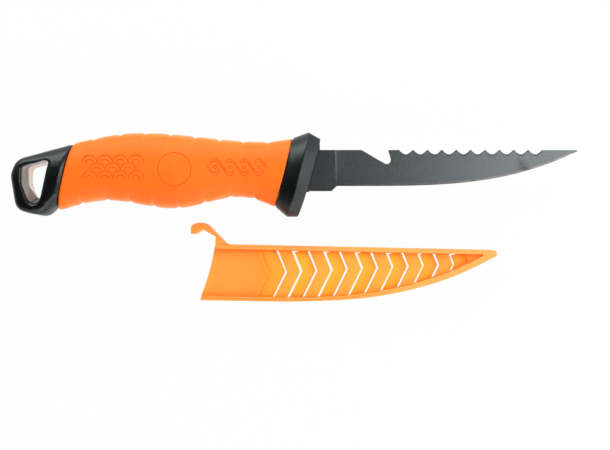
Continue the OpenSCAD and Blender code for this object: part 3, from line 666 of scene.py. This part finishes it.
def add_fillet(obj):
    """Joins a slim fillet to the back slats, along the foot of the upper rail."""
    bpy.ops.object.select_all(action="DESELECT")
    bpy.ops.mesh.primitive_cube_add(size=1)
    bar = bpy.context.object
    flat = points_of(bar) + 0.5
    x = FILLET_FROM + (FILLET_TO - FILLET_FROM) * flat[:, 0]
    y = SPINE_GAP - FILLET_W + (FILLET_W + 0.2) * flat[:, 1]
    z = BACK_LOW + 0.1 + (BACK_HIGH - BACK_LOW - 0.2) * flat[:, 2]
    lay(bar, x, y, z)
    solo(obj)
    bar.select_set(True)
    bpy.ops.object.join()


def slope_corners(obj):
    """Slopes the upper rear corner of each back slat, so that light shows past it below the fillet."""
    ends = points_of(obj)[edges_of(obj)]
    x, y = in_sheath(ends.mean(1))
    upright = np.linalg.norm((ends[:, 0] - ends[:, 1])[:, :2], axis=1) < 0.01 * MM
    tip = chevron_at(x, y)
    corner = upright & (y > SPINE_GAP - 0.05) & (tip > FIRST_GAP) & (slat_turn(tip) < 0.12)
    open_edit(obj, "EDGE", corner)
    bpy.ops.mesh.bevel(offset=SLOPE_DROP * MM, segments=1)
    close_edit()
    points = points_of(obj)
    x, y = in_sheath(points)
    tip = chevron_at(x, y)
    top = (y > SPINE_GAP - 0.02) & (tip > FIRST_GAP) & (slat_turn(tip) < 0.2)
    lay(obj, x + SLOPE_RUN * top, y, heights(points))


def mouth_bow(y):
    """How far the mouth plate's open edge is bowed inwards at a depth."""
    down = np.clip((SPINE_GAP - y) / (SPINE_GAP + RAIL_IN), 0, 1)
    return MOUTH_BOW * 4 * down * (1 - down)


def bow_mouth(obj):
    points = points_of(obj)
    x, y = in_sheath(points)
    move = mouth_bow(y) * np.clip(1 - (x - y * tan(radians(GUARD_RAKE))) / MOUTH_REACH, 0, 1)
    lay(obj, x + move, y, heights(points))


def paint_slats(obj, behind):
    """Paints the shade beside the rails, and the light that seeps through from the gaps."""
    x, y = in_sheath(points_of(obj))
    shade = np.maximum(fading(*UPPER_SHADE, SPINE_GAP - y),
                       fading(*LOWER_SHADE, y + rail_depth(x) + slimming(x)))
    tip = chevron_at(x, y)
    if behind:
        shade = np.maximum(BACK_SHADE * shade, fading(*PANEL_SHADE, tip - PANEL_LEN))
        seeping = np.where(tip > FIRST_GAP, np.exp(-SEEP_RATE * slat_turn(tip)), BACK_SEEP)
    else:
        within = x - y * tan(radians(GUARD_RAKE)) - mouth_bow(y)
        seeping = np.maximum(fading(*PANEL_SEEP, abs(tip - PANEL_LEN)), fading(*MOUTH_SEEP, within))
    paint(obj, "seeping", seeping)
    paint(obj, "shaded", shade)


def groove_band():
    """A slim band along the lower rail that fades out towards the tip."""
    bpy.ops.object.select_all(action="DESELECT")
    bpy.ops.mesh.primitive_grid_add(x_subdivisions=60, y_subdivisions=1, size=2)
    obj = bpy.context.object
    flat = points_of(obj)
    x = GROOVE_FROM + (GROOVE_TO - GROOVE_FROM) * (flat[:, 0] + 1) / 2
    fade = GROOVE_END + (1 - GROOVE_END) * (1 - (flat[:, 0] + 1) / 2) ** GROOVE_POWER
    y = -rail_depth(x) - GROOVE_IN + GROOVE_HALF * fade * flat[:, 1]
    lay(obj, x, y, [SHEATH_T + 1] * len(x))
    modify(obj, "SOLIDIFY", thickness=(1 + GROOVE_DEEP) * MM, offset=-1)
    tidy_mesh(obj)
    return obj


def make_rail():
    obj = copy_node("sheath_rim", "sheath_rail")
    points = points_of(obj)
    x, y = in_sheath(points)
    past = y + rail_depth(x)
    trim = sum(depth * np.exp(-((x - at) / reach) ** 2) for depth, at, reach in RAIL_TRIMS)
    y += np.where(abs(past) < INNER_WITHIN, -slimming(x), np.where(past < -OUTER_PAST, trim, 0))
    lay(obj, x, y, heights(points))
    round_edges(obj, RAIL_ROUND, 3)
    band = groove_band()
    modify(obj, "BOOLEAN", operation="DIFFERENCE", object=band, solver="EXACT")
    bpy.data.objects.remove(band)
    smooth(obj)
    modify(obj, "WEIGHTED_NORMAL", keep_sharp=True, weight=80)
    seat(obj, "sheath", "sheath_orange", "sheath_rim")
    return obj


def make_slats():
    """The mouth plate and the two layers of chevron slats."""
    made = []
    for node, name in (("sheath_mouth_panel", "mouth_plate"), ("sheath_front_slats", "front_chevrons"),
                       ("sheath_back_slats", "back_chevrons")):
        obj = copy_node(node, name)
        behind = name == "back_chevrons"
        set_arms(obj, *ARM_STEPS[name])
        if behind:
            slope_corners(obj)
            add_fillet(obj)
        round_edges(obj, SLAT_ROUND, 2 if behind else 3)
        modify(obj, "TRIANGULATE")
        modify(obj, "SUBSURF", subdivision_type="SIMPLE", levels=3)
        if name == "mouth_plate":
            bow_mouth(obj)
        smooth(obj)
        paint_slats(obj, behind)
        modify(obj, "WEIGHTED_NORMAL", keep_sharp=True, weight=80)
        seat(obj, "sheath", "sheath_orange", node)
        made.append(obj)
    return made


def make_hook():
    obj = copy_node("sheath_hook", "latch_hook")
    round_edges(obj, HOOK_ROUND, 3)
    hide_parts("sheath_hook")
    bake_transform(obj)
    return obj


# Finishes

def new_node(tree, kind, values=None, **settings):
    node = tree.nodes.new(kind)
    for key, value in settings.items():
        setattr(node, key, value)
    for key, value in (values or {}).items():
        node.inputs[key].default_value = value
    return node


def link(tree, source, give, target, take):
    tree.links.new(source.outputs[give], target.inputs[take])


def effect(name, takes, gives):
    """An empty node group with its sockets: values and colours in, values, colours or normals out."""
    tree = bpy.data.node_groups.new(name, "ShaderNodeTree")
    for label, value in takes.items():
        kind = "NodeSocketFloat" if isinstance(value, (int, float)) else "NodeSocketColor"
        tree.interface.new_socket(label, in_out="INPUT", socket_type=kind).default_value = value
    for label, kind in gives.items():
        tree.interface.new_socket(label, in_out="OUTPUT", socket_type="NodeSocket" + kind)
    return tree, new_node(tree, "NodeGroupInput"), new_node(tree, "NodeGroupOutput")


def make_grain():
    """Fine moulded or blasted grain: its value and the normal that it tilts."""
    tree, given, out = effect("grain", {"Scale": 2000, "Relief": 0.2}, {"Value": "Float", "Normal": "Vector"})
    place = new_node(tree, "ShaderNodeTexCoord")
    noise = new_node(tree, "ShaderNodeTexNoise", {"Detail": 3, "Roughness": 0.6})
    spread = new_node(tree, "ShaderNodeMapRange", {"From Min": 0.3, "From Max": 0.7})
    bump = new_node(tree, "ShaderNodeBump", {"Distance": 0.00012})
    link(tree, place, "Object", noise, "Vector")
    link(tree, given, "Scale", noise, "Scale")
    link(tree, given, "Relief", bump, "Strength")
    link(tree, noise, "Fac", bump, "Height")
    link(tree, noise, "Fac", spread, "Value")
    link(tree, spread, "Result", out, "Value")
    link(tree, bump, "Normal", out, "Normal")
    return tree


def make_mottle():
    """Two colours mixed in soft patches."""
    tree, given, out = effect("mottle", {"Scale": 80, "First": (1, 1, 1, 1), "Second": (0, 0, 0, 1)},
                              {"Color": "Color", "Value": "Float"})
    place = new_node(tree, "ShaderNodeTexCoord")
    noise = new_node(tree, "ShaderNodeTexNoise", {"Detail": 2, "Roughness": 0.5})
    spread = new_node(tree, "ShaderNodeMapRange", {"From Min": 0.3, "From Max": 0.7})
    mix = new_node(tree, "ShaderNodeMix", data_type="RGBA")
    link(tree, place, "Object", noise, "Vector")
    link(tree, given, "Scale", noise, "Scale")
    link(tree, noise, "Fac", spread, "Value")
    link(tree, spread, "Result", mix, 0)
    link(tree, given, "First", mix, 6)
    link(tree, given, "Second", mix, 7)
    link(tree, mix, 2, out, "Color")
    link(tree, spread, "Result", out, "Value")
    return tree


def make_scuffs():
    """Sparse fine scratches that run mostly along the piece."""
    tree, given, out = effect("scuffs", {"Scale": 60, "Amount": 0.3}, {"Mask": "Float"})
    place = new_node(tree, "ShaderNodeTexCoord")
    stretch = new_node(tree, "ShaderNodeMapping", {"Scale": (0.12, 2.6, 1), "Rotation": (0, 0, 0.25)})
    noise = new_node(tree, "ShaderNodeTexNoise", {"Detail": 4, "Roughness": 0.75})
    thin = new_node(tree, "ShaderNodeMapRange", {"From Min": 0.62, "From Max": 0.72})
    scale = new_node(tree, "ShaderNodeMath", operation="MULTIPLY")
    link(tree, place, "Object", stretch, "Vector")
    link(tree, stretch, "Vector", noise, "Vector")
    link(tree, given, "Scale", noise, "Scale")
    link(tree, noise, "Fac", thin, "Value")
    link(tree, thin, "Result", scale, 0)
    link(tree, given, "Amount", scale, 1)
    link(tree, scale, 0, out, "Mask")
    return tree


def use(tree, group, **values):
    """Places a shared effect in a material with its own values."""
    node = new_node(tree, "ShaderNodeGroup", node_tree=group)
    for key, value in values.items():
        node.inputs[key].default_value = value
    return node


def blend_colours(tree, factor, first, second):
    """Mixes two colours or links by a factor from a node."""
    mix = new_node(tree, "ShaderNodeMix", data_type="RGBA")
    tree.links.new(factor, mix.inputs[0])
    for place, colour in ((6, first), (7, second)):
        if isinstance(colour, tuple):
            mix.inputs[place].default_value = colour
        else:
            tree.links.new(colour, mix.inputs[place])
    return mix.outputs[2]


def painted(tree, name):
    return new_node(tree, "ShaderNodeAttribute", attribute_name=name).outputs["Fac"]


def vary(tree, value, low, high):
    """Maps a value between 0 and 1 to a range."""
    spread = new_node(tree, "ShaderNodeMapRange", {"To Min": low, "To Max": high})
    tree.links.new(value, spread.inputs["Value"])
    return spread.outputs["Result"]


def along(tree, place, axis, **ends):
    """A value that runs between two ends along an axis of the piece or of the room."""
    where = new_node(tree, "ShaderNodeTexCoord")
    axes = new_node(tree, "ShaderNodeSeparateXYZ")
    values = {key.replace("_", " "): value for key, value in ends.items()}
    spread = new_node(tree, "ShaderNodeMapRange", values)
    link(tree, where, place, axes, "Vector")
    link(tree, axes, axis, spread, "Value")
    return spread.outputs["Result"]


def new_finish(name, **sockets):
    """A material with plain values on its shader, with its node tree and shader."""
    material = bpy.data.materials.new(name)
    material.use_nodes = True
    tree = material.node_tree
    shader = tree.nodes["Principled BSDF"]
    for key, value in sockets.items():
        shader.inputs[key.replace("_", " ")].default_value = value
    return material, tree, shader


def grainy(tree, shader, scale, relief, rough_low, rough_high):
    """Gives a shader a grain that tilts its normal and varies its roughness."""
    node = use(tree, grain, Scale=scale, Relief=relief)
    link(tree, node, "Normal", shader, "Normal")
    tree.links.new(vary(tree, node.outputs["Value"], rough_low, rough_high), shader.inputs["Roughness"])
    return node


def orange_rubber():
    # The red emission is a painted glow that keeps the rubber's shaded parts vivid red.
    material, tree, shader = new_finish("orange_rubber", Subsurface_Weight=0.3, Subsurface_Scale=0.003,
                                        Subsurface_Radius=(1.0, 0.22, 0.05), Specular_IOR_Level=0.3,
                                        Emission_Color=(1.0, 0.06, 0.0, 1), Emission_Strength=0.2)
    patches = use(tree, mottle, Scale=70, First=(1.0, 0.175, 0.005, 1), Second=(1.0, 0.195, 0.008, 1))
    # Painted shade: the grooves are tinted deeper red.
    groove_shade = blend_colours(tree, painted(tree, "engraved"), patches.outputs["Color"], (0.92, 0.1, 0.002, 1))
    # Painted rim light and painted highlight streaks make the rubber paler where the pale attribute is
    # painted.
    rim = blend_colours(tree, painted(tree, "pale"), groove_shade, (1.0, 0.42, 0.18, 1))
    tree.links.new(rim, shader.inputs["Base Color"])
    grainy(tree, shader, 2600, 0.16, 0.5, 0.64)
    return material


def black_plastic(name, relief, rough_low, rough_high, **sockets):
    material, tree, shader = new_finish(name, **sockets)
    patches = use(tree, mottle, Scale=120, First=(0.0008, 0.001, 0.001, 1),
                  Second=(0.0016, 0.0018, 0.0018, 1))
    link(tree, patches, "Color", shader, "Base Color")
    grainy(tree, shader, 1800, relief, rough_low, rough_high)
    return material


def wall_reflection_paint():
    """Polished wall of the lanyard opening, whose warm metallic colour is a painted reflection of the pale
    table, darker on its upper half as painted shade.
    """
    material, tree, shader = new_finish("wall_reflection_paint", Metallic=0.6, Specular_IOR_Level=0.2)
    patches = use(tree, mottle, Scale=160, First=(0.85, 0.64, 0.5, 1), Second=(0.95, 0.74, 0.6, 1))
    # Painted shade: the upper half of the wall is darker.
    upper = along(tree, "Object", "Z", From_Min=DATUM.z - 0.6 * MM, From_Max=DATUM.z + 0.6 * MM)
    tone = blend_colours(tree, upper, patches.outputs["Color"], (0.26, 0.2, 0.17, 1))
    tree.links.new(tone, shader.inputs["Base Color"])
    grainy(tree, shader, 1800, 0.03, 0.1, 0.18)
    return material


def black_texture():
    """Blasted front of the guard, duller towards its top."""
    material, tree, shader = new_finish("black_texture")
    node = grainy(tree, shader, 1500, 0.6, 0.42, 0.6)
    gloss = along(tree, "Object", "Y", From_Min=DATUM.y - 2 * MM, From_Max=DATUM.y + 5 * MM,
                  To_Min=0.42, To_Max=0.05)
    tree.links.new(gloss, shader.inputs["Specular IOR Level"])
    speck = blend_colours(tree, node.outputs["Value"], (0.009, 0.012, 0.014, 1), (0.04, 0.046, 0.051, 1))
    tree.links.new(speck, shader.inputs["Base Color"])
    return material


def core_plastic():
    material, tree, shader = new_finish("core_plastic")
    patches = use(tree, mottle, Scale=150, First=(0.012, 0.013, 0.014, 1), Second=(0.022, 0.023, 0.024, 1))
    link(tree, patches, "Color", shader, "Base Color")
    grainy(tree, shader, 1600, 0.25, 0.4, 0.55)
    return material


def coating(name, tone):
    """Dark matt coating on steel, with fine specks and faint scuffs."""
    material, tree, shader = new_finish(name, Metallic=0.85)
    node = grainy(tree, shader, 1800, 0.14, 0.3, 0.4)
    speck = blend_colours(tree, node.outputs["Value"], (0.066 * tone, 0.078 * tone, 0.081 * tone, 1),
                          (0.104 * tone, 0.116 * tone, 0.118 * tone, 1))
    scratch = use(tree, scuffs, Scale=120, Amount=0.12)
    worn = blend_colours(tree, scratch.outputs["Mask"], speck, (0.16, 0.17, 0.17, 1))
    tree.links.new(worn, shader.inputs["Base Color"])
    return material


def bare_steel():
    material, tree, shader = new_finish("bare_steel", Metallic=1.0, Anisotropic=0.4)
    patches = use(tree, mottle, Scale=400, First=(0.11, 0.105, 0.1, 1), Second=(0.17, 0.16, 0.155, 1))
    link(tree, patches, "Color", shader, "Base Color")
    grainy(tree, shader, 5000, 0.1, 0.25, 0.4)
    return material


def pin_steel():
    material, tree, shader = new_finish("pin_steel", Metallic=1.0)
    scratch = use(tree, scuffs, Scale=300, Amount=0.8)
    worn = blend_colours(tree, scratch.outputs["Mask"], (0.5, 0.5, 0.51, 1), (0.66, 0.66, 0.66, 1))
    tree.links.new(worn, shader.inputs["Base Color"])
    grainy(tree, shader, 3000, 0.12, 0.25, 0.4)
    return material


def sheath_moulding(name, green, blue, low, high):
    """Orange plastic that lets a share of the light through, more where it seeps past a gap, with painted
    light, painted shade and a painted glow in its colour.
    """
    # The red emission is a painted glow.
    material, tree, shader = new_finish(name, Emission_Color=(1.0, 0.2, 0.0, 1), Emission_Strength=0.22)
    patches = use(tree, mottle, Scale=60, First=(1.0, green * 0.96, blue * 0.93, 1),
                  Second=(1.0, green * 1.04, blue * 1.07, 1))
    # Painted light: paler and yellower where light seeps past a gap; painted shade: deeper red where the
    # shaded attribute is painted.
    seep_light_colour = blend_colours(tree, painted(tree, "seeping"), patches.outputs["Color"], (1.0, 0.6, 0.02, 1))
    painted_shade_colour = blend_colours(tree, painted(tree, "shaded"), seep_light_colour, (1.0, 0.17, 0.012, 1))
    tree.links.new(painted_shade_colour, shader.inputs["Base Color"])
    grainy(tree, shader, 1500, 0.1, 0.38, 0.5)
    # The colour of the light let through also carries the painted light and painted shade.
    glow = blend_colours(tree, painted(tree, "seeping"), (1.0, 0.78, 0.36, 1), (1.0, 0.86, 0.22, 1))
    dim = blend_colours(tree, painted(tree, "shaded"), glow, (1.0, 0.4, 0.1, 1))
    through = new_node(tree, "ShaderNodeBsdfTranslucent")
    tree.links.new(dim, through.inputs["Color"])
    mix = new_node(tree, "ShaderNodeMixShader")
    tree.links.new(vary(tree, painted(tree, "seeping"), low, high), mix.inputs[0])
    link(tree, shader, 0, mix, 1)
    link(tree, through, 0, mix, 2)
    link(tree, mix, 0, tree.nodes["Material Output"], "Surface")
    return material


def dress(obj, *finishes, where=None):
    """Gives a piece its finish, or several with the number of the one that each face takes."""
    obj.data.materials.clear()
    for finish in finishes:
        obj.data.materials.append(finish)
    if where is not None:
        obj.data.polygons.foreach_set("material_index", where.astype(np.int32))


grain, mottle, scuffs = make_grain(), make_mottle(), make_scuffs()
# One orange plastic in three copies: their greens and blues differ as painted light, and each lets its own
# share of light through.
rails = sheath_moulding("sheath_rails", 0.45, 0.1, 0.25, 0.25)
plates = sheath_moulding("sheath_plate", 0.37, 0.062, 0.58, 0.58)
slats = sheath_moulding("sheath_slats", 0.52, 0.075, 0.62, 0.8)

dress(make_grip(), orange_rubber())
guard, front_faces = make_guard()
satin = black_plastic("black_satin", 0.06, 0.32, 0.4, Specular_Tint=(0.88, 1, 0.96, 1))
dress(guard, satin, black_texture(), where=front_faces)
cap, wall_faces = make_cap()
moulded = black_plastic("black_moulded", 0.04, 0.31, 0.39, Specular_Tint=(0.9, 1, 0.96, 1))
dress(cap, moulded, wall_reflection_paint(), where=wall_faces)
blade, ground_faces = make_blade()
# The scallops' walls take the coating at a third of its tone, as painted shade.
dress(blade, coating("blade_coating", 1.0), bare_steel(), coating("scallop_shade", 0.3), where=ground_faces)
for piece in (make_rail(), make_hook()):
    dress(piece, rails)
for piece, finish in zip(make_slats(), (plates, slats, slats)):
    dress(piece, finish)
dress(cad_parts["handle_core"], core_plastic())
steel = pin_steel()
for pin in ("tang_pins", "cap_pin"):
    dress(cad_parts[pin], steel)


# Table, light and camera

def direct_rays(tree):
    """A value of 1 for the rays that see a backdrop straight on, in a mirror or through a piece."""
    path = new_node(tree, "ShaderNodeLightPath")
    mirrored = new_node(tree, "ShaderNodeMath", operation="MAXIMUM")
    through = new_node(tree, "ShaderNodeMath", operation="MAXIMUM")
    link(tree, path, "Is Camera Ray", mirrored, 0)
    link(tree, path, "Is Glossy Ray", mirrored, 1)
    link(tree, mirrored, 0, through, 0)
    link(tree, path, "Is Transmission Ray", through, 1)
    return through.outputs[0]


def lay_table():
    bpy.ops.object.select_all(action="DESELECT")
    bpy.ops.mesh.primitive_plane_add(size=6, location=(0, 0, -0.2 * MM))
    table = bpy.context.object
    table.name = "table"
    white, tree, shader = new_finish("white_table", Base_Color=(0.9, 0.9, 0.9, 1), Roughness=0.8)
    glow = new_node(tree, "ShaderNodeEmission", {"Color": (1, 1, 1, 1), "Strength": 1})
    mix = new_node(tree, "ShaderNodeMixShader")
    tree.links.new(vary(tree, direct_rays(tree), 0, 0.97), mix.inputs[0])
    link(tree, shader, 0, mix, 1)
    link(tree, glow, 0, mix, 2)
    link(tree, mix, 0, tree.nodes["Material Output"], "Surface")
    dress(table, white)


def light_room():
    """A room that is dark overhead and pale towards the horizon, seen as plain white."""
    world = bpy.data.worlds.new("studio")
    bpy.context.scene.world = world
    world.use_nodes = True
    tree = world.node_tree
    backdrop = tree.nodes["Background"]
    backdrop.inputs["Color"].default_value = (1, 1, 1, 1)
    room = along(tree, "Generated", "Z", From_Min=0.75, From_Max=0.2, To_Min=ROOM_TOP, To_Max=ROOM_LOW)
    side = along(tree, "Generated", "X", From_Min=-0.9, From_Max=0.1, To_Min=ROOM_LEFT)
    dimmed = new_node(tree, "ShaderNodeMath", operation="MULTIPLY")
    tree.links.new(room, dimmed.inputs[0])
    tree.links.new(side, dimmed.inputs[1])
    path = new_node(tree, "ShaderNodeLightPath")
    level = new_node(tree, "ShaderNodeMix", {3: 1.0}, data_type="FLOAT")
    link(tree, path, "Is Camera Ray", level, 0)
    link(tree, dimmed, 0, level, 2)
    link(tree, level, 0, backdrop, "Strength")


def softbox(name, place, width, height, power):
    light = bpy.data.lights.new(name, "AREA")
    light.shape, light.size, light.size_y, light.energy = "RECTANGLE", width, height, power
    lamp = bpy.data.objects.new(name, light)
    bpy.context.scene.collection.objects.link(lamp)
    lamp.location = place
    lamp.rotation_euler = (-Vector(place)).to_track_quat("-Z", "Y").to_euler()


def set_camera():
    lens = bpy.data.cameras.new("camera")
    camera = bpy.data.objects.new("camera", lens)
    bpy.context.scene.collection.objects.link(camera)
    camera.location = DATUM + CAMERA_AT
    lens.sensor_width = SENSOR
    lens.lens = SENSOR / 2 * FOCAL_PX / HALF_FRAME_PX
    lens.clip_start = 0.01
    bpy.context.scene.camera = camera
    bpy.context.scene.view_settings.view_transform = "Standard"


lay_table()
light_room()
softbox("top_softbox", (-0.25, 0.66, 0.42), 0.85, 0.5, TOP_POWER)
softbox("front_softbox", (0.1, -0.62, 0.34), 0.8, 0.3, FRONT_POWER)
softbox("right_softbox", (0.42, 0.0, 0.55), 0.3, 0.6, RIGHT_POWER)
set_camera()
